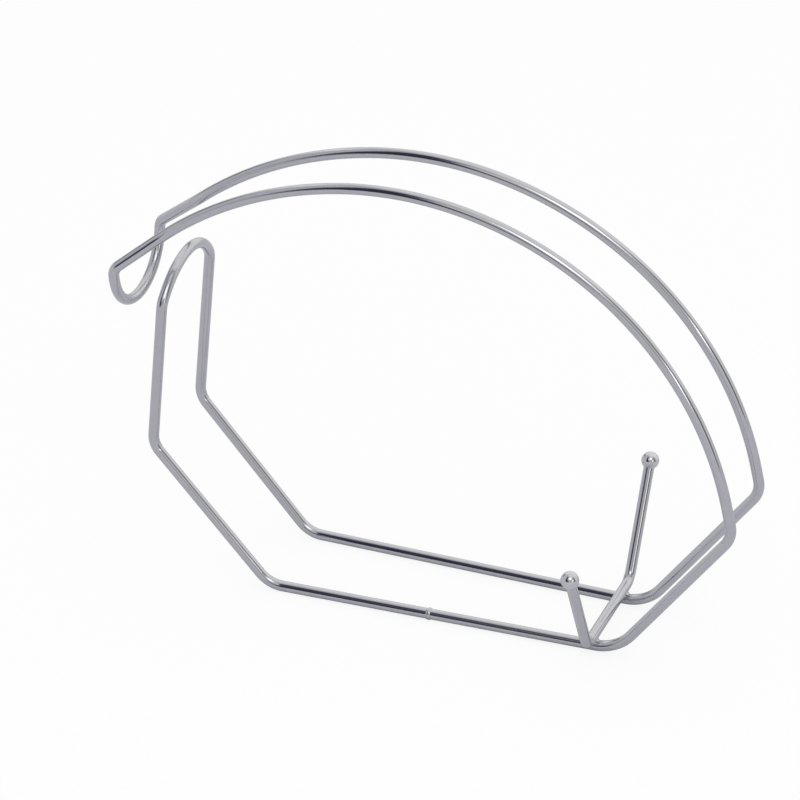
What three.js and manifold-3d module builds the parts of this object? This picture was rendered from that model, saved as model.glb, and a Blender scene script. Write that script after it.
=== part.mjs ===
// Wine bottle holder: one round wire bent into a closed frame, with a cross saddle that ends in two balls.
// Millimetres. X runs from the neck end to the base end, Y from front to rear, Z up from the table.
// Places along X are measured from about the middle of the rails; the whole part is centred in X last.
import * as THREE from 'three';
import { mergeVertices } from 'three/addons/utils/BufferGeometryUtils.js';
import Module from 'manifold-3d';

const wasm = await Module();
wasm.setup();

// Wire stock
const wireDiameter = 4.5;
const wireSides = 16;
const bendStep = 8; // degrees of turn between two sections of a tight bend
const levelTolerance = 1e-6; // within which a run of wire counts as level
const mergeTolerance = 1e-4; // within which two corners of a mesh are one
const seatGap = 0.3; // left free between a piece and the piece that it seats on

// Rails, which the holder stands on
const railLeftX = -75.8;
const railRightX = 76;
const railLeftHalfWidth = 22.5;
const railRightHalfWidth = 19.3;
const railLeftBendRadius = 13.4;
const railRightBendRadius = 19;

// Posts and the upper loop, which lean towards the middle
const postFootX = -126.05;
const postFootHeight = 59.25;
const postFootSkew = 1.3; // the front post is bent this much higher up its length, the rear one lower
const postFootBendRadius = 10.8;
const postHalfWidth = 24.9;
const postLean = 4.9; // degrees
const postLength = 64.6; // from the foot to the start of the loop's shoulders
const loopShoulderRadius = 8;
const loopCrownRadius = 29.3;

// Arches: one long arc over the top, and a slacker one down to the hook
const archCentreX = -22.3;
const archCentreHeight = 44.65;
const archRadius = 145.85;
const archFootAngle = 12.75; // degrees above the horizontal, seen from the centre
const archTailAngle = 99; // where the slacker arc takes over
const archTailRadius = 160;
const archTailSweep = 30.5; // degrees
const archFootLength = 12.1; // straight, below the long arc
const archFootBendRadius = 11.3;
const archFootHalfWidth = 19.4;
const archHalfWidth = 17.65;
const archTaperLength = 150; // over which the arches close up from the foot
const archStep = 3; // degrees

// Lower hook: an upright U between the ends of the arches, slacker over its bottom than at its sides
const hookTopX = -142.1;
const hookTopHeight = 137.8;
const hookHalfWidth = 23.6;
const hookSideRadius = 22;
const hookBottomRadius = 25;
const hookBendRadius = 5.5;
const splayBendRadius = 40;

// Saddle: a cross bar on the rails, with two arms
const saddleX = 65.7;
const saddleHalfWidth = 27.4; // to the corner where bar and arm meet
const saddleBendRadius = 8;
const armReach = 24.2; // outward, from the corner to the ball's centre
const armRise = 44.65;
const weldSink = 0.4; // how far the bar is pressed into the rails

// Balls
const ballDiameter = 7.5;
const ballBoreDepth = 3;
const ballSegments = 28;

// Welds
const buttWeldX = -5;
const buttWeldLength = 2;
const buttWeldProud = 0.4;
const railWeldSpread = 3.1;
const railWeldHalfHeight = 1.5;
const weldSegments = 32;
const buttWeldRings = 6;

// Worked out from the sizes above
const wireRadius = wireDiameter / 2;
const railHeight = wireRadius;
const barHeight = railHeight + wireDiameter - weldSink;
const rad = THREE.MathUtils.degToRad;

// A station is a place that a wire's section is drawn at, with the direction that the wire runs there.
const station = ( point, tangent ) => ( { point, tangent } );

// Rounds the corners of a bent wire. Each corner is { at, bend }, where bend is the centreline radius or 0.
function bendWire( corners ) {

	const stations = [];
	const last = corners.length - 1;

	corners.forEach( ( { at, bend }, i ) => {

		const before = i > 0 ? at.clone().sub( corners[ i - 1 ].at ).normalize() : null;
		const after = i < last ? corners[ i + 1 ].at.clone().sub( at ).normalize() : null;

		if ( ! before || ! after ) {

			stations.push( station( at, before ?? after ) );
			return;

		}

		if ( ! bend ) {

			stations.push( station( at, before.add( after ).normalize() ) );
			return;

		}

		const turn = before.angleTo( after );
		const steps = Math.max( 2, Math.ceil( THREE.MathUtils.radToDeg( turn ) / bendStep ) );
		const start = at.clone().addScaledVector( before, - bend * Math.tan( turn / 2 ) );
		const axis = before.clone().cross( after ).normalize();
		const inward = axis.clone().cross( before );
		const centre = start.clone().addScaledVector( inward, bend );

		for ( let k = 0; k <= steps; k ++ ) {

			const angle = turn * k / steps;
			const radius = start.clone().sub( centre ).applyAxisAngle( axis, angle );
			stations.push( station( centre.clone().add( radius ), before.clone().applyAxisAngle( axis, angle ) ) );

		}

	} );

	return stations;

}

// A path for ExtrudeGeometry that draws its sections at the stations, with no needless twist
// and with a flat of the section facing straight down wherever the wire lies level at restHeight.
class WirePath extends THREE.Curve {

	constructor( stations, up, restHeight ) {

		super();
		this.stations = stations;
		this.up = up;
		this.restHeight = restHeight;

	}

	getPoint( t, target = new THREE.Vector3() ) {

		const place = t * ( this.stations.length - 1 );
		const i = Math.min( Math.floor( place ), this.stations.length - 2 );
		return target.lerpVectors( this.stations[ i ].point, this.stations[ i + 1 ].point, place - i );

	}

	getSpacedPoints() {

		return this.stations.map( ( s ) => s.point );

	}

	computeFrenetFrames() {

		const tangents = this.stations.map( ( s ) => s.tangent );
		const normals = [];
		let normal = this.up;

		for ( const tangent of tangents ) {

			normal = normal.clone().addScaledVector( tangent, - normal.dot( tangent ) ).normalize();
			normals.push( normal );

		}

		const twists = this.levelTwists( tangents, normals );
		normals.forEach( ( n, i ) => n.applyAxisAngle( tangents[ i ], twists[ i ] ) );
		const binormals = normals.map( ( n, i ) => tangents[ i ].clone().cross( n ) );
		return { tangents, normals, binormals };

	}

	// The twist at each station: what levels the flat on the level runs, and an even change between them.
	levelTwists( tangents, normals ) {

		const pitch = 2 * Math.PI / wireSides;
		const level = [];

		this.stations.forEach( ( { point }, i ) => {

			const offHeight = Math.abs( point.z - this.restHeight );
			if ( offHeight > levelTolerance || Math.abs( tangents[ i ].z ) > levelTolerance ) return;
			const across = tangents[ i ].clone().cross( normals[ i ] );
			const twist = Math.atan2( across.z, normals[ i ].z );
			const previous = level.length ? level.at( - 1 ).twist : 0;
			level.push( { i, twist: twist + pitch * Math.round( ( previous - twist ) / pitch ) } );

		} );

		return this.stations.map( ( s, i ) => {

			const next = level.find( ( l ) => l.i >= i ) ?? level.at( - 1 );
			const previous = level.findLast( ( l ) => l.i <= i ) ?? level[ 0 ];
			if ( ! next ) return 0;
			const share = next.i > previous.i ? ( i - previous.i ) / ( next.i - previous.i ) : 0;
			return THREE.MathUtils.lerp( previous.twist, next.twist, share );

		} );

	}

}

// A many-sided round section whose flats lie at the given radius, one of them square to the first axis.
function roundSection( radius ) {

	const shape = new THREE.Shape();
	const corner = radius / Math.cos( Math.PI / wireSides );

	for ( let k = 0; k < wireSides; k ++ ) {

		const angle = ( k + 0.5 ) * 2 * Math.PI / wireSides;
		const x = corner * Math.cos( angle );
		const y = corner * Math.sin( angle );
		k ? shape.lineTo( x, y ) : shape.moveTo( x, y );

	}

	return shape.closePath();

}

function wireGeometry( stations, up, radius = wireRadius, restHeight = railHeight ) {

	const extrudePath = new WirePath( stations, up, restHeight );
	return new THREE.ExtrudeGeometry( roundSection( radius ), { steps: stations.length - 1, extrudePath } );

}

// Booleans
function toSolid( geometry ) {

	const bare = geometry.clone();
	bare.deleteAttribute( 'normal' );
	bare.deleteAttribute( 'uv' );
	const merged = mergeVertices( bare, mergeTolerance );
	return new wasm.Manifold( new wasm.Mesh( {
		numProp: 3,
		vertProperties: new Float32Array( merged.attributes.position.array ),
		triVerts: new Uint32Array( merged.index.array )
	} ) );

}

function toGeometry( solid ) {

	const { vertProperties, triVerts } = solid.getMesh();
	const geometry = new THREE.BufferGeometry();
	geometry.setAttribute( 'position', new THREE.BufferAttribute( vertProperties, 3 ) );
	geometry.setIndex( new THREE.BufferAttribute( triVerts, 1 ) );
	return geometry;

}

// Frame wire, one side at a time: side is -1 at the front and 1 at the rear.
const onRail = ( side, x ) => {

	const share = ( x - railLeftX ) / ( railRightX - railLeftX );
	const halfWidth = THREE.MathUtils.lerp( railLeftHalfWidth, railRightHalfWidth, share );
	return new THREE.Vector3( x, side * halfWidth, railHeight );

};

// From the rail's left end up the post and round the loop, as far as the loop's crown.
function postRun( side ) {

	const foot = new THREE.Vector3( postFootX, side * postHalfWidth, postFootHeight );
	const up = new THREE.Vector3( Math.sin( rad( postLean ) ), 0, Math.cos( rad( postLean ) ) );
	const corner = foot.clone().addScaledVector( up, - side * postFootSkew );
	const onLoop = ( across, above ) => {

		const point = foot.clone().addScaledVector( up, postLength + above );
		point.y = side * across;
		return point;

	};

	// The shoulder and the crown touch where both radii lie on one line, at this angle from upright.
	const crownCentreBelow = loopCrownRadius - loopShoulderRadius;
	const meet = Math.asin( ( postHalfWidth - loopShoulderRadius ) / crownCentreBelow );
	const shoulderTurn = Math.PI / 2 - meet;
	const steps = ( turn ) => Math.ceil( THREE.MathUtils.radToDeg( turn ) / bendStep );
	const points = [];

	for ( let k = 0; k <= steps( shoulderTurn ); k ++ ) {

		const angle = shoulderTurn * k / steps( shoulderTurn );
		const across = postHalfWidth - loopShoulderRadius * ( 1 - Math.cos( angle ) );
		points.push( onLoop( across, loopShoulderRadius * Math.sin( angle ) ) );

	}

	for ( let k = 1; k < steps( meet ); k ++ ) {

		const angle = meet * ( 1 - k / steps( meet ) );
		const above = loopCrownRadius * Math.cos( angle ) - crownCentreBelow * Math.cos( meet );
		points.push( onLoop( loopCrownRadius * Math.sin( angle ), above ) );

	}

	const crown = onLoop( 0, loopCrownRadius - crownCentreBelow * Math.cos( meet ) );
	const run = [
		{ at: onRail( side, railLeftX ), bend: railLeftBendRadius },
		{ at: corner, bend: postFootBendRadius },
		...points.map( ( at ) => ( { at, bend: 0 } ) )
	];
	return { run, crown };

}

const railDirection = ( side ) => onRail( side, railRightX ).sub( onRail( side, railLeftX ) ).normalize();

// The largest bend at the rail's right end that lifts the wire by no more than the seat gap at the weld's edge.
function bendClearOfWeld( side, archFoot ) {

	const corner = onRail( side, railRightX );
	const turn = railDirection( side ).angleTo( archFoot.clone().sub( corner ) );
	const setback = Math.tan( turn / 2 ); // from the bend's start to the corner, for each millimetre of radius
	const free = setback * Math.max( 0, railRightX - saddleX - railWeldSpread );
	return ( free + seatGap + Math.sqrt( seatGap * ( seatGap + 2 * free ) ) ) / setback ** 2;

}

// From the rail's right end up to the arch, over it and down to the bottom of the hook.
function archRun( side ) {

	const onArc = ( centreX, centreZ, radius, degrees, halfWidth ) => new THREE.Vector3(
		centreX + radius * Math.cos( rad( degrees ) ),
		side * halfWidth,
		centreZ + radius * Math.sin( rad( degrees ) )
	);
	const archStart = onArc( archCentreX, archCentreHeight, archRadius, archFootAngle, archFootHalfWidth );
	const legLean = rad( archFootAngle );
	const downward = new THREE.Vector3( Math.sin( legLean ), 0, - Math.cos( legLean ) );
	const archFoot = archStart.clone().addScaledVector( downward, archFootLength );
	const rightBend = Math.min( railRightBendRadius, bendClearOfWeld( side, archFoot ) );
	const run = [
		{ at: onRail( side, railRightX ), bend: rightBend },
		{ at: archFoot, bend: archFootBendRadius }
	];

	const archSteps = Math.ceil( ( archTailAngle - archFootAngle ) / archStep );

	for ( let k = 0; k <= archSteps; k ++ ) {

		const degrees = THREE.MathUtils.lerp( archFootAngle, archTailAngle, k / archSteps );
		const along = archRadius * rad( degrees - archFootAngle );
		const open = Math.max( 0, 1 - along / archTaperLength );
		const halfWidth = THREE.MathUtils.lerp( archHalfWidth, archFootHalfWidth, open * open );
		run.push( { at: onArc( archCentreX, archCentreHeight, archRadius, degrees, halfWidth ), bend: 0 } );

	}

	const tailCentreX = archCentreX + ( archRadius - archTailRadius ) * Math.cos( rad( archTailAngle ) );
	const tailCentreZ = archCentreHeight + ( archRadius - archTailRadius ) * Math.sin( rad( archTailAngle ) );
	const tailSteps = Math.ceil( archTailSweep / archStep );

	for ( let k = 1; k <= tailSteps; k ++ ) {

		const degrees = archTailAngle + archTailSweep * k / tailSteps;
		const bend = k === tailSteps ? splayBendRadius : 0;
		run.push( { at: onArc( tailCentreX, tailCentreZ, archTailRadius, degrees, archHalfWidth ), bend } );

	}

	const hookTop = new THREE.Vector3( hookTopX, side * hookHalfWidth, hookTopHeight );
	run.push( { at: hookTop, bend: hookBendRadius } );

	// The side and bottom arcs touch where both radii lie on one line, at this angle from level.
	const sideCentreAcross = hookHalfWidth - hookSideRadius;
	const bottomCentreAbove = Math.sqrt( ( hookBottomRadius - hookSideRadius ) ** 2 - sideCentreAcross ** 2 );
	const touch = Math.atan2( bottomCentreAbove, sideCentreAcross );
	const hookSteps = Math.ceil( 90 / bendStep );
	const hookPoint = ( degrees ) => {

		const onSide = rad( degrees ) < touch;
		const radius = onSide ? hookSideRadius : hookBottomRadius;
		const across = radius * Math.cos( rad( degrees ) ) + ( onSide ? sideCentreAcross : 0 );
		const below = radius * Math.sin( rad( degrees ) ) - ( onSide ? 0 : bottomCentreAbove );
		return new THREE.Vector3( hookTopX, side * across, hookTopHeight - below );

	};

	for ( let k = 1; k < hookSteps; k ++ ) run.push( { at: hookPoint( 90 * k / hookSteps ), bend: 0 } );

	return { run, bottom: hookPoint( 90 ) };

}

function frameWire() {

	const front = - 1;
	const rear = 1;
	const weldCentre = onRail( front, buttWeldX );
	const halfWeld = buttWeldLength / 2;
	const leftEnd = weldCentre.clone().addScaledVector( railDirection( front ), - halfWeld );
	const rightEnd = weldCentre.clone().addScaledVector( railDirection( front ), halfWeld );
	const frontPost = postRun( front );
	const rearPost = postRun( rear );
	const frontArch = archRun( front );
	const rearArch = archRun( rear );
	const stations = bendWire( [
		{ at: leftEnd, bend: 0 },
		...frontPost.run,
		{ at: frontPost.crown, bend: 0 },
		...rearPost.run.reverse(),
		...rearArch.run,
		{ at: rearArch.bottom, bend: 0 },
		...frontArch.run.reverse(),
		{ at: rightEnd, bend: 0 }
	] );
	return wireGeometry( stations, new THREE.Vector3( 0, 0, 1 ) );

}

// Butt weld: the collar that the two ends of the frame wire are upset into, dressed flat underneath.
function buttWeld() {

	const profile = [ new THREE.Vector2( 0, - buttWeldLength / 2 ) ];

	for ( let k = 0; k <= buttWeldRings; k ++ ) {

		const share = k / buttWeldRings;
		const radius = wireRadius + buttWeldProud * Math.sin( Math.PI * share );
		profile.push( new THREE.Vector2( radius, buttWeldLength * ( share - 0.5 ) ) );

	}

	profile.push( new THREE.Vector2( 0, buttWeldLength / 2 ) );
	const collar = new THREE.LatheGeometry( profile, weldSegments );
	const upright = new THREE.Vector3( 0, 1, 0 );
	collar.applyQuaternion( new THREE.Quaternion().setFromUnitVectors( upright, railDirection( - 1 ) ) );
	const place = onRail( - 1, buttWeldX );
	collar.translate( place.x, place.y, place.z );
	return toGeometry( toSolid( collar ).trimByPlane( [ 0, 0, 1 ], 0 ) );

}

// Saddle wire
const saddleCorner = ( side ) => new THREE.Vector3( saddleX, side * saddleHalfWidth, barHeight );
const armDirection = ( side ) => new THREE.Vector3( 0, side * armReach, armRise ).normalize();
const ballCentre = ( side ) => saddleCorner( side ).add( new THREE.Vector3( 0, side * armReach, armRise ) );

// The arm ends inside the ball's bore, clear of its floor.
const armEnd = ( side ) => {

	const ballRadius = ballDiameter / 2;
	return ballCentre( side ).addScaledVector( armDirection( side ), ballBoreDepth - ballRadius - seatGap );

};

const saddleStations = bendWire( [
	{ at: armEnd( - 1 ), bend: 0 },
	{ at: saddleCorner( - 1 ), bend: saddleBendRadius },
	{ at: saddleCorner( 1 ), bend: saddleBendRadius },
	{ at: armEnd( 1 ), bend: 0 }
] );

const saddleBlank = ( radius ) => toSolid(
	wireGeometry( saddleStations, new THREE.Vector3( 1, 0, 0 ), radius, barHeight )
);

const railBlank = ( side, radius ) => toSolid( wireGeometry(
	bendWire( [ railLeftX, railRightX ].map( ( x ) => ( { at: onRail( side, x ), bend: 0 } ) ) ),
	new THREE.Vector3( 0, 0, 1 ), radius
) );

// The bar is pressed into each rail, so it carries a shallow seat there.
function saddleWire() {

	const railSeat = ( side ) => railBlank( side, wireRadius + seatGap );
	return toGeometry( saddleBlank( wireRadius ).subtract( railSeat( - 1 ) ).subtract( railSeat( 1 ) ) );

}

// Rail weld: the ring of metal squeezed out where the bar crosses a rail.
function railWeld( side ) {

	const place = onRail( side, saddleX );
	const lens = new THREE.SphereGeometry( 1, weldSegments, weldSegments / 2 )
		.scale( railWeldSpread, railWeldSpread, railWeldHalfHeight )
		.translate( place.x, place.y, ( railHeight + barHeight ) / 2 );
	const ring = toSolid( lens )
		.subtract( railBlank( side, wireRadius + seatGap ) )
		.subtract( saddleBlank( wireRadius + seatGap ) );
	return toGeometry( ring );

}

// Ball, drilled to take the end of the arm
function ball( side ) {

	const ballRadius = ballDiameter / 2;
	const boreRadius = wireRadius + seatGap;
	const mouth = - Math.sqrt( ballRadius ** 2 - boreRadius ** 2 );
	const profile = [
		new THREE.Vector2( 0, ballBoreDepth - ballRadius ),
		new THREE.Vector2( boreRadius, ballBoreDepth - ballRadius )
	];
	const firstAngle = Math.atan2( mouth, boreRadius );
	const rings = ballSegments / 2;

	for ( let k = 0; k < rings; k ++ ) {

		const angle = THREE.MathUtils.lerp( firstAngle, Math.PI / 2, k / rings );
		profile.push( new THREE.Vector2( ballRadius * Math.cos( angle ), ballRadius * Math.sin( angle ) ) );

	}

	profile.push( new THREE.Vector2( 0, ballRadius ) );
	const geometry = new THREE.LatheGeometry( profile, ballSegments );
	const tilt = new THREE.Quaternion().setFromUnitVectors( new THREE.Vector3( 0, 1, 0 ), armDirection( side ) );
	const place = ballCentre( side );
	return geometry.applyQuaternion( tilt ).translate( place.x, place.y, place.z );

}

// Assembly
const chrome = { color: 0xb9b9c2, metalness: 1, roughness: 0.12 };
const weldMetal = { color: 0xa9a9b0, metalness: 1, roughness: 0.3 };

function piece( name, geometry, finish ) {

	const mesh = new THREE.Mesh( geometry, new THREE.MeshStandardMaterial( finish ) );
	mesh.name = name;
	return mesh;

}

const holder = new THREE.Group();
holder.add(
	piece( 'frame_wire', frameWire(), chrome ),
	piece( 'butt_weld', buttWeld(), weldMetal ),
	piece( 'saddle_wire', saddleWire(), chrome ),
	piece( 'front_ball', ball( - 1 ), chrome ),
	piece( 'rear_ball', ball( 1 ), chrome ),
	piece( 'front_rail_weld', railWeld( - 1 ), weldMetal ),
	piece( 'rear_rail_weld', railWeld( 1 ), weldMetal )
);

const footprint = new THREE.Box3().setFromObject( holder ).getCenter( new THREE.Vector3() );
holder.position.x = - footprint.x;

export default holder;
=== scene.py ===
import math

import bpy
from mathutils import Matrix, Quaternion, Vector


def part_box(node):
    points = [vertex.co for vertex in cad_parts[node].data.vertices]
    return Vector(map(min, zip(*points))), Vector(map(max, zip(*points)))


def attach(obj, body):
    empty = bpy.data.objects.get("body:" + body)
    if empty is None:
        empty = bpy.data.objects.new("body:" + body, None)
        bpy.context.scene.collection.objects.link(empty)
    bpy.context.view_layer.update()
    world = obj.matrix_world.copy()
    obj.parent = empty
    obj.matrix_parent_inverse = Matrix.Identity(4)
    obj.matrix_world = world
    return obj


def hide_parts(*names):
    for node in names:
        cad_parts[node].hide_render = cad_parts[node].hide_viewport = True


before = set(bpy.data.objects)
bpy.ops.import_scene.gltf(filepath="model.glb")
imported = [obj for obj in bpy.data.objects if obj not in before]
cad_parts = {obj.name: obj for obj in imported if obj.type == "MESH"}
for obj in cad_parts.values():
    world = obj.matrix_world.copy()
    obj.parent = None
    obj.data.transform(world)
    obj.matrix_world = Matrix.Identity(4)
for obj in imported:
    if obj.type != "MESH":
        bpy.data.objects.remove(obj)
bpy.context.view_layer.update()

FRONT, REAR = -1, 1
MM_PER_METRE = 1000

# Sizes in millimetres and degrees, along X from near the middle of the rails and up from the table
WIRE_RADIUS = 2.25
RAIL_HEIGHT = WIRE_RADIUS
RAIL_LEFT_X, RAIL_LEFT_HALF = -75.8, 22.5
RAIL_RIGHT_X, RAIL_RIGHT_HALF = 76.0, 19.3
RAIL_LEFT_BEND, RAIL_RIGHT_BEND, POST_FOOT_BEND, ARCH_FOOT_BEND = 13.4, 19.0, 10.8, 11.3
POST_FOOT_X, POST_FOOT_HEIGHT, POST_FOOT_SKEW, POST_HALF = -126.05, 59.25, 1.3, 24.9
POST_LEAN, POST_LENGTH = 4.9, 64.6
LOOP_SHOULDER, LOOP_CROWN = 8.0, 29.3
ARCH_X, ARCH_Z, ARCH_RADIUS = -22.3, 44.65, 145.85
ARCH_FOOT_ANGLE, ARCH_TAIL_ANGLE = 12.75, 99.0
ARCH_TAIL_RADIUS, ARCH_TAIL_SWEEP = 160.0, 30.5
ARCH_FOOT_LENGTH, ARCH_FOOT_HALF, ARCH_HALF, ARCH_TAPER = 12.1, 19.4, 17.65, 150.0
HOOK_X, HOOK_HEIGHT, HOOK_HALF, HOOK_BEND, SPLAY_BEND = -142.1, 137.8, 23.6, 5.5, 40.0
HOOK_SIDE_RADIUS, HOOK_BOTTOM_RADIUS = 22.0, 25.0
SADDLE_X, SADDLE_HALF, SADDLE_BEND = 65.7, 27.4, 8.0
ARM_REACH, ARM_RISE, ARM_END_INSET, WELD_SINK = 24.2, 44.65, 1.5, 0.4
BAR_HEIGHT = RAIL_HEIGHT + 2 * WIRE_RADIUS - WELD_SINK
BUTT_WELD_X, BUTT_WELD_LENGTH, BUTT_WELD_SINK, BUTT_WELD_RISE = -5.0, 2.0, 0.05, 0.34
RAIL_WELD_RADIUS, RAIL_WELD_HALF_HEIGHT = 2.7, 1.3

BALL_RADIUS = 3.745
SEAM_LEDGE = 0.25                           # how far the ball's seam ring stands out from the arm
SEAM_FOOT_OUT, SEAM_FOOT_DOWN = 0.02, 0.28  # the ring's foot on the arm
SEAM_LIP_IN, SEAM_LIP_DOWN = 0.05, 0.12     # the ring's lip
STUB_INSET, STUB_RAISE = 0.3, 0.6           # the ball's closed end inside the arm

# How fine the meshes are, in millimetres, degrees and counts
WIRE_SIDES, TURNED_SIDES, RING_GAP, END_RING = 48, 72, 6.0, 0.05
BEND_STEP, BEND_LEAST_STEPS, HOOK_STEP, HOOK_START = 3, 3, 2, 8
SHOULDER_STEPS, CROWN_STEPS, ARCH_STEPS, TAIL_STEPS = 14, 24, 96, 16
BALL_STEPS, BUTT_WELD_STEPS, RAIL_WELD_STEPS = 40, 14, 24

# The weld metal's form
BUTT_WELD_FULLNESS, RAIL_WELD_FULLNESS = 0.6, 0.8   # powers of the profiles: less is fuller
BUTT_WELD_WOBBLE, RAIL_WELD_WOBBLE = 0.006, 0.02    # unevenness, as a share of the radius
COARSE_WAVES, FINE_WAVES = 3, 7                     # waves of the unevenness in a turn
FINE_SHARE, FINE_DRIFT = 0.6, 2.1                   # the fine waves' height, and turn between rings

# Frost in the plate, from 0 to 1
BEND_FROST, SHOULDER_FROST, HOOK_FROST = 0.6, 0.5, 0.3
HOOK_FROSTED_ANGLE = 60                             # where the hook is frosted all over, in degrees

# How far the sizes' X lies from the frame's, found from the butt weld
weld_low, weld_high = (Vector(corner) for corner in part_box("butt_weld"))
SHIFT = MM_PER_METRE * (weld_low.x + weld_high.x) / 2 - BUTT_WELD_X


def place(point):
    """Takes a point in the sizes' millimetres into the frame's metres."""
    return Vector((point.x + SHIFT, point.y, point.z)) / MM_PER_METRE


# Wires
def bend_wire(corners):
    """Rounds a wire's corners.

    Takes (point, bend radius, frost) for each corner, and gives rings of (point, direction, frost).
    """
    rings = []
    for i, (at, bend, frost) in enumerate(corners):
        before = (at - corners[i - 1][0]).normalized() if i else None
        after = (corners[i + 1][0] - at).normalized() if i < len(corners) - 1 else None
        if before is None or after is None:
            rings.append((at, before or after, frost))
            continue
        if not bend:
            rings.append((at, (before + after).normalized(), frost))
            continue
        turn = before.angle(after)
        start = at - before * bend * math.tan(turn / 2)
        axis = before.cross(after).normalized()
        centre = start + axis.cross(before) * bend
        steps = max(BEND_LEAST_STEPS, math.ceil(math.degrees(turn) / BEND_STEP))
        for k in range(steps + 1):
            spin = Matrix.Rotation(turn * k / steps, 3, axis)
            bent = max(frost, BEND_FROST * math.sin(math.pi * k / steps))
            rings.append((centre + spin @ (start - centre), spin @ before, bent))
    return rings


def spread(rings):
    """Adds a ring close to each end, and others between, so that no gap passes the ring gap."""
    out = [rings[0]]
    first, last = rings[0], rings[-1]
    near_start = (first[0] + first[1] * END_RING, *first[1:])
    near_end = (last[0] - last[1] * END_RING, *last[1:])
    rings = [first, near_start, *rings[1:-1], near_end, last]
    for here, there in zip(rings, rings[1:]):
        gap = (there[0] - here[0]).length
        parts = max(1, math.ceil(gap / RING_GAP))
        for k in range(1, parts + 1):
            share = k / parts
            point = here[0].lerp(there[0], share)
            direction = here[1].lerp(there[1], share).normalized()
            out.append((point, direction, here[2] + (there[2] - here[2]) * share))
    return out


def on_rail(side, x):
    share = (x - RAIL_LEFT_X) / (RAIL_RIGHT_X - RAIL_LEFT_X)
    half = RAIL_LEFT_HALF + (RAIL_RIGHT_HALF - RAIL_LEFT_HALF) * share
    return Vector((x, side * half, RAIL_HEIGHT))


def post_run(side):
    """From the rail's left end up the post and round the loop to its crown."""
    foot = Vector((POST_FOOT_X, side * POST_HALF, POST_FOOT_HEIGHT))
    lean = math.radians(POST_LEAN)
    up = Vector((math.sin(lean), 0, math.cos(lean)))
    meet = math.asin((POST_HALF - LOOP_SHOULDER) / (LOOP_CROWN - LOOP_SHOULDER))
    drop = (LOOP_CROWN - LOOP_SHOULDER) * math.cos(meet)

    def on_loop(across, above):
        point = foot + up * (POST_LENGTH + above)
        point.y = side * across
        return point

    corner = foot - up * side * POST_FOOT_SKEW
    run = [(on_rail(side, RAIL_LEFT_X), RAIL_LEFT_BEND, 0.0), (corner, POST_FOOT_BEND, 0.0)]
    shoulder = math.pi / 2 - meet
    for k in range(SHOULDER_STEPS + 1):
        share = k / SHOULDER_STEPS
        a = shoulder * share
        across = POST_HALF - LOOP_SHOULDER * (1 - math.cos(a))
        run.append((on_loop(across, LOOP_SHOULDER * math.sin(a)), 0, SHOULDER_FROST * share))
    for k in range(1, CROWN_STEPS + 1):
        share = k / CROWN_STEPS
        a = meet * (1 - share)
        spot = on_loop(LOOP_CROWN * math.sin(a), LOOP_CROWN * math.cos(a) - drop)
        run.append((spot, 0, SHOULDER_FROST + (1 - SHOULDER_FROST) * share))
    return run


def arch_run(side):
    """From the rail's right end up the arch, over it and down to the bottom of the hook."""
    run = [(on_rail(side, RAIL_RIGHT_X), RAIL_RIGHT_BEND, 0.0)]

    def on_arc(x, z, radius, degrees, half):
        a = math.radians(degrees)
        return Vector((x + radius * math.cos(a), side * half, z + radius * math.sin(a)))

    foot_angle = math.radians(ARCH_FOOT_ANGLE)
    start = on_arc(ARCH_X, ARCH_Z, ARCH_RADIUS, ARCH_FOOT_ANGLE, ARCH_FOOT_HALF)
    down = Vector((math.sin(foot_angle), 0, -math.cos(foot_angle)))
    run.append((start + down * ARCH_FOOT_LENGTH, ARCH_FOOT_BEND, 0.0))
    for k in range(ARCH_STEPS + 1):
        degrees = ARCH_FOOT_ANGLE + (ARCH_TAIL_ANGLE - ARCH_FOOT_ANGLE) * k / ARCH_STEPS
        along = ARCH_RADIUS * math.radians(degrees - ARCH_FOOT_ANGLE)
        opened = max(0.0, 1 - along / ARCH_TAPER) ** 2
        half = ARCH_HALF + (ARCH_FOOT_HALF - ARCH_HALF) * opened
        run.append((on_arc(ARCH_X, ARCH_Z, ARCH_RADIUS, degrees, half), 0, 0.0))
    tail = math.radians(ARCH_TAIL_ANGLE)
    tail_x = ARCH_X + (ARCH_RADIUS - ARCH_TAIL_RADIUS) * math.cos(tail)
    tail_z = ARCH_Z + (ARCH_RADIUS - ARCH_TAIL_RADIUS) * math.sin(tail)
    for k in range(1, TAIL_STEPS + 1):
        degrees = ARCH_TAIL_ANGLE + ARCH_TAIL_SWEEP * k / TAIL_STEPS
        bend = SPLAY_BEND if k == TAIL_STEPS else 0
        run.append((on_arc(tail_x, tail_z, ARCH_TAIL_RADIUS, degrees, ARCH_HALF), bend, 0.0))
    return run + hook_run(side)


def hook_run(side):
    """From the hook's upper corner round its side and on to its bottom."""
    run = [(Vector((HOOK_X, side * HOOK_HALF, HOOK_HEIGHT)), HOOK_BEND, HOOK_FROST)]
    inset = HOOK_HALF - HOOK_SIDE_RADIUS
    raised = math.sqrt((HOOK_BOTTOM_RADIUS - HOOK_SIDE_RADIUS) ** 2 - inset ** 2)
    meet = math.atan2(raised, inset)
    for degrees in range(HOOK_START, 90 + HOOK_STEP, HOOK_STEP):
        a = math.radians(degrees)
        if a < meet:
            across, below = inset + HOOK_SIDE_RADIUS * math.cos(a), HOOK_SIDE_RADIUS * math.sin(a)
        else:
            across, below = HOOK_BOTTOM_RADIUS * math.cos(a), HOOK_BOTTOM_RADIUS * math.sin(a) - raised
        spot = Vector((HOOK_X, side * across, HOOK_HEIGHT - below))
        run.append((spot, 0, min(1.0, HOOK_FROST + (1 - HOOK_FROST) * degrees / HOOK_FROSTED_ANGLE)))
    return run


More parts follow.
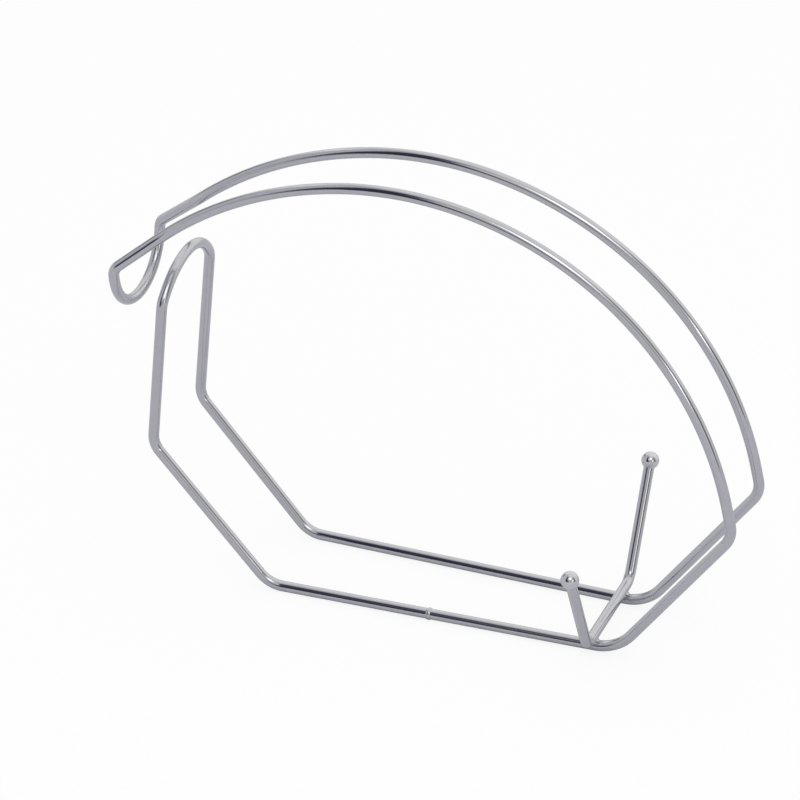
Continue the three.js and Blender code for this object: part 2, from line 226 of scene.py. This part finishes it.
def tube(name, rings):
    """A round wire as one closed mesh, with how far along and around it each point is, and its frost."""
    vertices, along, around, frost = [], [], [], []
    normal = Vector((0, 0, 1))
    travelled = 0.0
    for i, (point, direction, rough) in enumerate(rings):
        normal = (normal - direction * normal.dot(direction)).normalized()
        binormal = direction.cross(normal)
        if i:
            travelled += (point - rings[i - 1][0]).length
        for k in range(WIRE_SIDES):
            a = 2 * math.pi * k / WIRE_SIDES
            vertices.append(place(point + (normal * math.cos(a) + binormal * math.sin(a)) * WIRE_RADIUS))
            along.append(travelled)
            around.append(k / WIRE_SIDES)
            frost.append(rough)
    faces = []
    for i in range(len(rings) - 1):
        row, following = i * WIRE_SIDES, (i + 1) * WIRE_SIDES
        for k in range(WIRE_SIDES):
            n = (k + 1) % WIRE_SIDES
            faces.append((row + k, row + n, following + n, following + k))
    last = (len(rings) - 1) * WIRE_SIDES
    faces.append(tuple(reversed(range(WIRE_SIDES))))
    faces.append(tuple(range(last, last + WIRE_SIDES)))
    mesh = bpy.data.meshes.new(name)
    mesh.from_pydata(vertices, [], faces)
    for key, values in (("along", along), ("around", around), ("frost", frost)):
        mesh.attributes.new(key, "FLOAT", "POINT").data.foreach_set("value", values)
    return add_piece(name, mesh, flat_faces=2)


def add_piece(name, mesh, flat_faces=0):
    """Shades a mesh smooth, apart from its last faces, and puts it in the scene."""
    mesh.update()
    smooth = [True] * (len(mesh.polygons) - flat_faces) + [False] * flat_faces
    mesh.polygons.foreach_set("use_smooth", smooth)
    piece = bpy.data.objects.new(name, mesh)
    bpy.context.scene.collection.objects.link(piece)
    return piece


# Frame wire, from one side of the butt weld round to the other
rail_direction = (on_rail(FRONT, RAIL_RIGHT_X) - on_rail(FRONT, RAIL_LEFT_X)).normalized()
weld_centre = on_rail(FRONT, BUTT_WELD_X)
wire_end = rail_direction * BUTT_WELD_LENGTH / 4
frame_corners = [(weld_centre - wire_end, 0, 0.0)]
frame_corners += post_run(FRONT) + post_run(REAR)[-2::-1]
frame_corners += arch_run(REAR) + arch_run(FRONT)[-2::-1]
frame_corners += [(weld_centre + wire_end, 0, 0.0)]
frame_wire = tube("frame_form", spread(bend_wire(frame_corners)))


# Saddle wire, from ball to ball
def saddle_corner(side):
    return Vector((SADDLE_X, side * SADDLE_HALF, BAR_HEIGHT))


def arm_direction(side):
    return Vector((0, side * ARM_REACH, ARM_RISE)).normalized()


def ball_centre(side):
    return saddle_corner(side) + Vector((0, side * ARM_REACH, ARM_RISE))


saddle_corners = [
    (ball_centre(FRONT) - arm_direction(FRONT) * ARM_END_INSET, 0, 0.0),
    (saddle_corner(FRONT), SADDLE_BEND, 0.0),
    (saddle_corner(REAR), SADDLE_BEND, 0.0),
    (ball_centre(REAR) - arm_direction(REAR) * ARM_END_INSET, 0, 0.0),
]
saddle_wire = tube("saddle_form", spread(bend_wire(saddle_corners)))


# Turned and pressed forms
def turned(name, profile, centre, axis, wobble=0.0):
    """A profile of (radius, height) turned about an axis, with a slight unevenness for weld metal."""
    turn = Vector((0, 0, 1)).rotation_difference(axis).to_matrix()
    vertices = [place(centre + turn @ Vector((0, 0, profile[0][1])))]
    inner = profile[1:-1]
    for j, (radius, height) in enumerate(inner):
        for k in range(TURNED_SIDES):
            a = 2 * math.pi * k / TURNED_SIDES
            coarse = math.sin(COARSE_WAVES * a + j)
            fine = FINE_SHARE * math.sin(FINE_WAVES * a + FINE_DRIFT * j)
            uneven = 1 + wobble * (coarse + fine)
            spot = Vector((radius * uneven * math.cos(a), radius * uneven * math.sin(a), height))
            vertices.append(place(centre + turn @ spot))
    vertices.append(place(centre + turn @ Vector((0, 0, profile[-1][1]))))
    top = len(vertices) - 1
    final = 1 + (len(inner) - 1) * TURNED_SIDES
    faces = []
    for k in range(TURNED_SIDES):
        n = (k + 1) % TURNED_SIDES
        faces.append((0, 1 + n, 1 + k))
        for j in range(len(inner) - 1):
            row, following = 1 + j * TURNED_SIDES, 1 + (j + 1) * TURNED_SIDES
            faces.append((row + k, row + n, following + n, following + k))
        faces.append((final + k, final + n, top))
    mesh = bpy.data.meshes.new(name)
    mesh.from_pydata(vertices, [], faces)
    mesh.attributes.new("frost", "FLOAT", "POINT").data.foreach_set("value", [0.0] * len(vertices))
    return add_piece(name, mesh)


def ball(name, side):
    """A ball with a fine ring at the seam, where it meets its arm."""
    seam_radius = WIRE_RADIUS + SEAM_LEDGE
    seam = -math.acos(seam_radius / BALL_RADIUS)
    seam_height = BALL_RADIUS * math.sin(seam)
    stub_height = -BALL_RADIUS + STUB_RAISE
    profile = [
        (0.0, stub_height),
        (WIRE_RADIUS - STUB_INSET, stub_height),
        (WIRE_RADIUS + SEAM_FOOT_OUT, seam_height - SEAM_FOOT_DOWN),
        (seam_radius - SEAM_LIP_IN, seam_height - SEAM_LIP_DOWN),
    ]
    for k in range(BALL_STEPS):
        a = seam + (math.pi / 2 - seam) * k / BALL_STEPS
        profile.append((BALL_RADIUS * math.cos(a), BALL_RADIUS * math.sin(a)))
    profile.append((0.0, BALL_RADIUS))
    return turned(name, profile, ball_centre(side), arm_direction(side))


front_ball, rear_ball = ball("ball_form_front", FRONT), ball("ball_form_rear", REAR)


def collar(name):
    """The butt weld's upset collar, dressed flat where it meets the table."""
    low, high = WIRE_RADIUS - BUTT_WELD_SINK, WIRE_RADIUS + BUTT_WELD_RISE
    profile = [(0.0, -BUTT_WELD_LENGTH / 2)]
    for k in range(BUTT_WELD_STEPS + 1):
        share = k / BUTT_WELD_STEPS
        radius = low + (high - low) * math.sin(math.pi * share) ** BUTT_WELD_FULLNESS
        profile.append((radius, BUTT_WELD_LENGTH * (share - 0.5)))
    profile.append((0.0, BUTT_WELD_LENGTH / 2))
    piece = turned(name, profile, weld_centre, rail_direction, BUTT_WELD_WOBBLE)
    for vertex in piece.data.vertices:
        vertex.co.z = max(vertex.co.z, 0.0)
    return piece


butt_weld = collar("butt_weld_form")


def rail_weld(name, side):
    """The metal squeezed out round the crossing of bar and rail."""
    at = on_rail(side, SADDLE_X)
    at.z = (RAIL_HEIGHT + BAR_HEIGHT) / 2
    profile = [(0.0, -RAIL_WELD_HALF_HEIGHT)]
    for k in range(1, RAIL_WELD_STEPS):
        a = -math.pi / 2 + math.pi * k / RAIL_WELD_STEPS
        radius = RAIL_WELD_RADIUS * math.cos(a) ** RAIL_WELD_FULLNESS
        profile.append((radius, RAIL_WELD_HALF_HEIGHT * math.sin(a)))
    profile.append((0.0, RAIL_WELD_HALF_HEIGHT))
    return turned(name, profile, at, Vector((0, 0, 1)), RAIL_WELD_WOBBLE)


front_weld = rail_weld("rail_weld_form_front", FRONT)
rear_weld = rail_weld("rail_weld_form_rear", REAR)


# Node trees
class Nodes:
    """The emptied node tree of a material or the world, and short ways to build in it."""

    def __init__(self, owner):
        owner.use_nodes = True
        self.tree = owner.node_tree
        self.tree.nodes.clear()

    def add(self, kind, **settings):
        node = self.tree.nodes.new(kind)
        for key, value in settings.items():
            setattr(node, key, value)
        return node

    def link(self, source, target):
        self.tree.links.new(source, target)

    def attribute(self, name):
        return self.add("ShaderNodeAttribute", attribute_name=name).outputs["Fac"]

    def noise(self, vector, scale, detail, roughness):
        node = self.add("ShaderNodeTexNoise")
        node.inputs["Scale"].default_value = scale
        node.inputs["Detail"].default_value = detail
        node.inputs["Roughness"].default_value = roughness
        self.link(vector, node.inputs["Vector"])
        return node.outputs["Fac"]

    def ranged(self, value, low, high, start, end, **settings):
        """Gives low where the value is at its start, and high where it is at its end."""
        node = self.add("ShaderNodeMapRange", **settings)
        node.inputs["From Min"].default_value = start
        node.inputs["From Max"].default_value = end
        node.inputs["To Min"].default_value = low
        node.inputs["To Max"].default_value = high
        self.link(value, node.inputs["Value"])
        return node.outputs["Result"]

    def maths(self, kind, first, second):
        node = self.add("ShaderNodeMath", operation=kind)
        for value, socket in ((first, node.inputs[0]), (second, node.inputs[1])):
            if isinstance(value, (int, float)):
                socket.default_value = value
            else:
                self.link(value, socket)
        return node.outputs["Value"]

    def mean(self, first, second, share):
        """The given share of the first value and the rest of the second."""
        part, rest = self.maths("MULTIPLY", first, share), self.maths("MULTIPLY", second, 1 - share)
        return self.maths("ADD", part, rest)

    def blend(self, factor, below, above):
        """The first colour where the factor is 0, the second where it is 1, each a socket or a tuple."""
        mix = self.add("ShaderNodeMix", data_type="RGBA")
        self.link(factor, mix.inputs["Factor"])
        for value, socket in ((below, mix.inputs["A"]), (above, mix.inputs["B"])):
            if isinstance(value, tuple):
                socket.default_value = (*value, 1.0)
            else:
                self.link(value, socket)
        return mix.outputs["Result"]


# Chrome, with its noises as scale, detail and roughness
CLOUDING, GRAIN, STREAKS = (260.0, 5.0, 0.6), (2400.0, 3.0, 0.6), (7.0, 6.0, 0.65)
STREAK_STRETCH = 0.02                               # how little the streaks change along a wire
NOISE_LOW, NOISE_HIGH, STREAK_HIGH = 0.3, 0.7, 0.75  # the stretch of the noises that is used
FROST_LEAST, FROST_MOST = 0.10, 0.20                # what full frost adds to the roughness
CLOUD_RIPPLE = 0.8                                  # the clouding's share of the ripple, beside the grain


def chrome(name, pale, dark, smooth, worn, ripple, wire=False):
    """Polished plate over steel, faintly clouded, with drawn streaks on wire and frost where it is bent.

    Takes its palest and darkest colour, its least and most roughness, and its ripple's height in metres.
    """
    material = bpy.data.materials.new(name)
    nodes = Nodes(material)
    shader = nodes.add("ShaderNodeBsdfPrincipled")
    shader.inputs["Metallic"].default_value = 1.0
    output = nodes.add("ShaderNodeOutputMaterial")
    nodes.link(shader.outputs["BSDF"], output.inputs["Surface"])
    here = nodes.add("ShaderNodeTexCoord").outputs["Object"]
    cloud = nodes.noise(here, *CLOUDING)
    grain = nodes.noise(here, *GRAIN)
    streak = drawn_streaks(nodes) if wire else cloud
    shade = nodes.mean(cloud, streak, 0.5)
    tone = nodes.ranged(shade, 0.0, 1.0, NOISE_LOW, NOISE_HIGH)
    nodes.link(nodes.blend(tone, dark, pale), shader.inputs["Base Color"])
    base = nodes.ranged(streak, smooth, worn, NOISE_LOW, STREAK_HIGH)
    frosting = nodes.ranged(grain, FROST_LEAST, FROST_MOST, NOISE_LOW, NOISE_HIGH)
    frosted = nodes.maths("MULTIPLY", nodes.attribute("frost"), frosting)
    nodes.link(nodes.maths("ADD", base, frosted), shader.inputs["Roughness"])
    bump = nodes.add("ShaderNodeBump")
    bump.inputs["Strength"].default_value = 1.0
    bump.inputs["Distance"].default_value = ripple
    nodes.link(nodes.mean(cloud, grain, CLOUD_RIPPLE), bump.inputs["Height"])
    nodes.link(bump.outputs["Normal"], shader.inputs["Normal"])
    return material


def drawn_streaks(nodes):
    """Noise that is drawn out along a wire and closes up around it."""
    lengthwise = nodes.add("ShaderNodeCombineXYZ")
    nodes.link(nodes.maths("MULTIPLY", nodes.attribute("along"), STREAK_STRETCH), lengthwise.inputs["X"])
    turn = nodes.maths("MULTIPLY", nodes.attribute("around"), 2 * math.pi)
    nodes.link(nodes.maths("COSINE", turn, 0.0), lengthwise.inputs["Y"])
    nodes.link(nodes.maths("SINE", turn, 0.0), lengthwise.inputs["Z"])
    return nodes.noise(lengthwise.outputs["Vector"], *STREAKS)


wire_chrome = chrome(
    "wire_chrome", pale=(0.58, 0.58, 0.605), dark=(0.52, 0.52, 0.545),
    smooth=0.05, worn=0.11, ripple=0.00002, wire=True,
)
ball_chrome = chrome(
    "ball_chrome", pale=(0.66, 0.655, 0.675), dark=(0.60, 0.60, 0.62),
    smooth=0.03, worn=0.07, ripple=0.00001,
)
weld_chrome = chrome(
    "weld_chrome", pale=(0.59, 0.59, 0.61), dark=(0.46, 0.46, 0.48),
    smooth=0.14, worn=0.30, ripple=0.00012,
)

for piece, node, slot, material in (
    (frame_wire, "frame_wire", "chromed_wire", wire_chrome),
    (saddle_wire, "saddle_wire", "chromed_wire", wire_chrome),
    (front_ball, "front_ball", "chromed_ball", ball_chrome),
    (rear_ball, "rear_ball", "chromed_ball", ball_chrome),
    (butt_weld, "butt_weld", "chromed_weld", weld_chrome),
    (front_weld, "front_rail_weld", "chromed_weld", weld_chrome),
    (rear_weld, "rear_rail_weld", "chromed_weld", weld_chrome),
):
    piece.data.materials.append(material)
    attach(piece, "root")
    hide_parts(node)

# Floor, in metres
FLOOR_HALF = 4.0
PAPER_DARK, PAPER_PALE, PAPER_SEEN = (0.73, 0.73, 0.775), (0.75, 0.75, 0.795), (1.0, 1.0, 1.0)
PAPER_ROUGHNESS, PAPER_SPECULAR, PAPER_FIBRE = 0.8, 0.1, (900.0, 3.0, 0.5)
FLOOR_WHITE = 0.85                                  # the white in what the camera sees of it


def studio_paper():
    """Pale matt paper, which looks nearly white to the camera and still keeps a faint shadow."""
    material = bpy.data.materials.new("studio_paper")
    nodes = Nodes(material)
    paper = nodes.add("ShaderNodeBsdfPrincipled")
    paper.inputs["Roughness"].default_value = PAPER_ROUGHNESS
    paper.inputs["Specular IOR Level"].default_value = PAPER_SPECULAR
    fibre = nodes.noise(nodes.add("ShaderNodeTexCoord").outputs["Object"], *PAPER_FIBRE)
    camera_ray = nodes.add("ShaderNodeLightPath").outputs["Is Camera Ray"]
    colour = nodes.blend(camera_ray, nodes.blend(fibre, PAPER_DARK, PAPER_PALE), PAPER_SEEN)
    nodes.link(colour, paper.inputs["Base Color"])
    white = nodes.add("ShaderNodeEmission")
    white.inputs["Color"].default_value = (*PAPER_SEEN, 1.0)
    white.inputs["Strength"].default_value = 1.0
    shown = nodes.add("ShaderNodeMixShader")
    nodes.link(nodes.maths("MULTIPLY", camera_ray, FLOOR_WHITE), shown.inputs["Fac"])
    nodes.link(paper.outputs["BSDF"], shown.inputs[1])
    nodes.link(white.outputs["Emission"], shown.inputs[2])
    output = nodes.add("ShaderNodeOutputMaterial")
    nodes.link(shown.outputs["Shader"], output.inputs["Surface"])
    return material


floor_mesh = bpy.data.meshes.new("studio_floor")
floor_corners = [(x * FLOOR_HALF, y * FLOOR_HALF, 0) for x, y in ((-1, -1), (1, -1), (1, 1), (-1, 1))]
floor_mesh.from_pydata(floor_corners, [], [(0, 1, 2, 3)])
floor_mesh.materials.append(studio_paper())
floor = bpy.data.objects.new("studio_floor", floor_mesh)
bpy.context.scene.collection.objects.link(floor)

# Studio light: a pale tent all round, darker where it opens at the front left
FILL = (0.86, 0.86, 0.86)           # what lights the floor
BACKDROP = (0.95, 0.95, 0.955)      # what the camera sees
PALE, WHITE, LIT, GREY, SOFT_GREY = 0.81, 1.0, 1.3, 0.66, 0.53
SHADE, DIM, DARK, BLACK = 0.34, 0.22, 0.17, 0.05
NEUTRAL, COOL, WARM, INKY = (1.0, 1.0, 1.0), (0.97, 0.97, 1.05), (1.01, 1.0, 0.98), (0.91, 0.91, 1.45)

# What the chrome mirrors, as round patches: azimuth, elevation, inner and outer angle, level, tint
TENT = (
    (15, 42, 30, 62, WHITE, NEUTRAL),       # the sweep behind
    (-94, 36, 24, 42, GREY, COOL),          # the left wall
    (-68, 22, 4, 15, DIM, COOL),
    (-70, 49, 2, 7, LIT, NEUTRAL),          # lit edges of the panels
    (-54, 38, 3, 8, LIT, NEUTRAL),
    (36, 36, 3, 9, LIT, NEUTRAL),
    (150, 20, 8, 22, SOFT_GREY, WARM),      # the wall under the softbox
    (-176, 14, 4, 19, SHADE, WARM),
    (177, 14, 2, 9, DIM, WARM),
    (98, 37, 9, 21, SHADE, NEUTRAL),        # the gaps on the right
    (101, 10, 9, 20, DIM, NEUTRAL),
    (-140, 14, 6, 20, SOFT_GREY, COOL),     # the tent's opening
    (-160, 62, 4, 14, SOFT_GREY, COOL),
    (-132, 62, 2, 10, SHADE, COOL),
    (-148, 55, 2, 12, DARK, INKY),
    (-150, 46, 4, 13, BLACK, INKY),
    (-152, 34, 4, 16, BLACK, INKY),
    (-155, 22, 4, 18, BLACK, INKY),
    (-160, 10, 4, 18, BLACK, INKY),
)


def aim(azimuth, elevation):
    """The direction at an angle round from +Y towards +X, and up."""
    a, e = math.radians(azimuth), math.radians(elevation)
    return Vector((math.sin(a) * math.cos(e), math.cos(a) * math.cos(e), math.sin(e)))


def patch(sky, direction, azimuth, elevation, inner, outer):
    """1 within the inner angle of a direction of the tent, 0 beyond the outer one."""
    dot = sky.add("ShaderNodeVectorMath", operation="DOT_PRODUCT")
    dot.inputs[1].default_value = aim(azimuth, elevation)
    sky.link(direction, dot.inputs[0])
    start, end = math.cos(math.radians(outer)), math.cos(math.radians(inner))
    return sky.ranged(dot.outputs["Value"], 0.0, 1.0, start, end, interpolation_type="SMOOTHSTEP")


def light_tent():
    """The world: the tent for mirrored rays, a plain pale fill for the rest, and a plain backdrop."""
    world = bpy.data.worlds.new("studio_tent")
    bpy.context.scene.world = world
    sky = Nodes(world)
    facing = sky.add("ShaderNodeTexCoord").outputs["Generated"]
    tent = (PALE, PALE, PALE)
    for azimuth, elevation, inner, outer, level, tint in TENT:
        shade = tuple(level * share for share in tint)
        tent = sky.blend(patch(sky, facing, azimuth, elevation, inner, outer), tent, shade)
    ray = sky.add("ShaderNodeLightPath")
    seen = sky.blend(ray.outputs["Is Glossy Ray"], FILL, tent)
    seen = sky.blend(ray.outputs["Is Camera Ray"], seen, BACKDROP)
    background = sky.add("ShaderNodeBackground")
    sky.link(seen, background.inputs["Color"])
    output = sky.add("ShaderNodeOutputWorld")
    sky.link(background.outputs["Background"], output.inputs["Surface"])


# Lamps, in metres, degrees and watts
LAMP_DISTANCE, LAMP_AIM_HEIGHT = 1.6, 0.08


def softbox(name, azimuth, elevation, width, height, power, roll=0.0):
    light = bpy.data.lights.new(name, "AREA")
    light.shape = "RECTANGLE"
    light.size, light.size_y = width, height
    light.energy = power
    lamp = bpy.data.objects.new(name, light)
    way = aim(azimuth, elevation)
    lamp.location = Vector((0, 0, LAMP_AIM_HEIGHT)) + way * LAMP_DISTANCE
    spin = Quaternion((0, 0, 1), math.radians(roll))
    lamp.rotation_euler = (way.to_track_quat("Z", "Y") @ spin).to_euler()
    bpy.context.scene.collection.objects.link(lamp)


light_tent()
softbox("softbox_high", 151, 48, width=0.66, height=0.66, power=1.85)
softbox("softbox_low", 122.5, 17.5, width=0.64, height=0.18, power=0.54, roll=35)

# Camera, at the photograph's angle, in degrees and millimetres
AZIMUTH, ELEVATION, ROLL = 20.77, 28.83, 0.16
DISTANCE, LOOK_RIGHT, LOOK_UP = 1823.0, -24.2, 79.6
FOCAL_PIXELS, PICTURE, SENSOR_WIDTH = 4379.0, 800, 36   # the picture's width is in pixels too
turn_z, tilt, roll = (math.radians(angle) for angle in (AZIMUTH, ELEVATION, ROLL))
ahead = Vector((-math.sin(turn_z) * math.cos(tilt), math.cos(turn_z) * math.cos(tilt), -math.sin(tilt)))
level_right = Vector((math.cos(turn_z), math.sin(turn_z), 0))
level_up = level_right.cross(ahead)
right = level_right * math.cos(roll) + level_up * math.sin(roll)
up = level_up * math.cos(roll) - level_right * math.sin(roll)
camera_data = bpy.data.cameras.new("camera")
camera_data.sensor_width = SENSOR_WIDTH
camera_data.lens = FOCAL_PIXELS * SENSOR_WIDTH / PICTURE
camera = bpy.data.objects.new("camera", camera_data)
bpy.context.scene.collection.objects.link(camera)
eye = right * LOOK_RIGHT + up * LOOK_UP - ahead * DISTANCE
eye = place(eye + Vector((0, 0, RAIL_HEIGHT)))
camera.matrix_world = Matrix.Translation(eye) @ Matrix((right, up, -ahead)).transposed().to_4x4()
bpy.context.scene.camera = camera
bpy.context.scene.view_settings.view_transform = "Standard"
